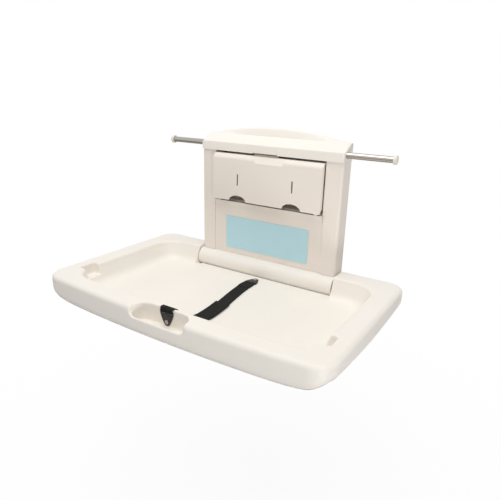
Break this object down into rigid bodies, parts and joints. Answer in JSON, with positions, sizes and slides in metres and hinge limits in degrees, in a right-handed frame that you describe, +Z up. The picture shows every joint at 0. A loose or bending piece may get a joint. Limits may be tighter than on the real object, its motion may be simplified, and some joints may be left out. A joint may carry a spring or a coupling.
{
  "type": "wall-mounted baby changing station",
  "caption": "Horizontal wall-mounted baby changing station with a folding basin bed, liner dispenser, bag rod and safety strap, shown open.",
  "frame": {"origin": "on the wall plane, midway across the unit, at the height of the open bed's rim", "axes": "+X to the right as seen from the front, +Y into the wall, +Z up"},
  "size_m": [0.884, 0.555, 0.4942],
  "materials": {
    "polyethylene": "satin moulded polyethylene, off-white",
    "panel_polyethylene": "satin moulded polyethylene, slightly darker off-white",
    "stainless": "polished stainless steel",
    "zinc_steel": "zinc-plated steel",
    "nylon": "natural nylon",
    "rubber": "black rubber",
    "black_nylon": "black nylon",
    "webbing": "black woven webbing",
    "plate_film": "pale blue printed film, plain"
  },
  "bodies": {
    "wall_unit": {"top_cap": "polyethylene", "hinge_cover": "polyethylene", "liner_box": "polyethylene", "liner_divider": "polyethylene", "panel_shell": "panel_polyethylene", "bag_rod": "stainless", "door_pivot_right": "stainless", "door_pivot_left": "stainless", "wall_chassis": "zinc_steel", "hinge_bracket_right": "zinc_steel", "hinge_bracket_left": "zinc_steel", "liner_box_screw_1": "zinc_steel", "liner_box_screw_2": "zinc_steel", "liner_box_screw_3": "zinc_steel", "liner_box_screw_4": "zinc_steel", "liner_box_spacer_1": "nylon", "liner_box_spacer_2": "nylon", "liner_box_spacer_3": "nylon", "liner_box_spacer_4": "nylon", "hinge_bush_right": "nylon", "hinge_bush_left": "nylon", "rod_cradle_right": "nylon", "rod_cradle_left": "nylon", "rod_cap_right": "nylon", "rod_cap_left": "nylon", "stop_pad_right": "rubber", "stop_pad_left": "rubber", "damper_right": "black_nylon", "damper_left": "black_nylon", "instruction_plate": "plate_film"},
    "bed": {"bed_shell": "polyethylene", "bed_underside": "polyethylene", "hinge_pin_right": "stainless", "hinge_pin_left": "stainless", "stop_lever_right": "zinc_steel", "stop_lever_left": "zinc_steel", "damper_rotor_right": "nylon", "damper_rotor_left": "nylon", "hinge_arm_right": "zinc_steel", "hinge_arm_left": "zinc_steel", "cross_tube": "zinc_steel", "underside_screw_1": "zinc_steel", "underside_screw_2": "zinc_steel", "underside_screw_3": "zinc_steel", "underside_screw_4": "zinc_steel", "underside_screw_5": "zinc_steel", "underside_screw_6": "zinc_steel", "rear_strap": "webbing", "front_strap": "webbing", "rear_anchor_screw": "stainless", "front_anchor_screw": "stainless"},
    "dispenser_door": {"dispenser_door": "panel_polyethylene"},
    "door_catch": {"door_catch": "polyethylene"},
    "front_anchor": {"front_anchor": "black_nylon"},
    "rear_anchor": {"rear_anchor": "black_nylon"}
  },
  "joints": [
    {"name": "bed_fold", "type": "hinge", "parent": "wall_unit", "child": "bed", "pos_m": [0, -0.048, -0.026], "axis": [-1, 0, 0], "range_deg": [0, 90]},
    {"name": "dispenser_door_tilt", "type": "hinge", "parent": "wall_unit", "child": "dispenser_door", "pos_m": [0, -0.065, 0.1785], "axis": [-1, 0, 0], "range_deg": [-55, 0]},
    {"name": "door_catch_slide", "type": "slide", "parent": "wall_unit", "child": "door_catch", "axis": [0, 0, 1], "range_m": [-0.006, 0]},
    {"name": "front_anchor_swivel", "type": "hinge", "parent": "bed", "child": "front_anchor", "pos_m": [0, -0.5114, -0.0355], "axis": [0, 1, 0], "range_deg": [-12, 12], "deforming": ["front_strap"]},
    {"name": "rear_anchor_swivel", "type": "hinge", "parent": "bed", "child": "rear_anchor", "pos_m": [0, -0.104, -0.0586], "axis": [0, 0, 1], "range_deg": [-12, 12], "deforming": ["rear_strap"]}
  ]
}
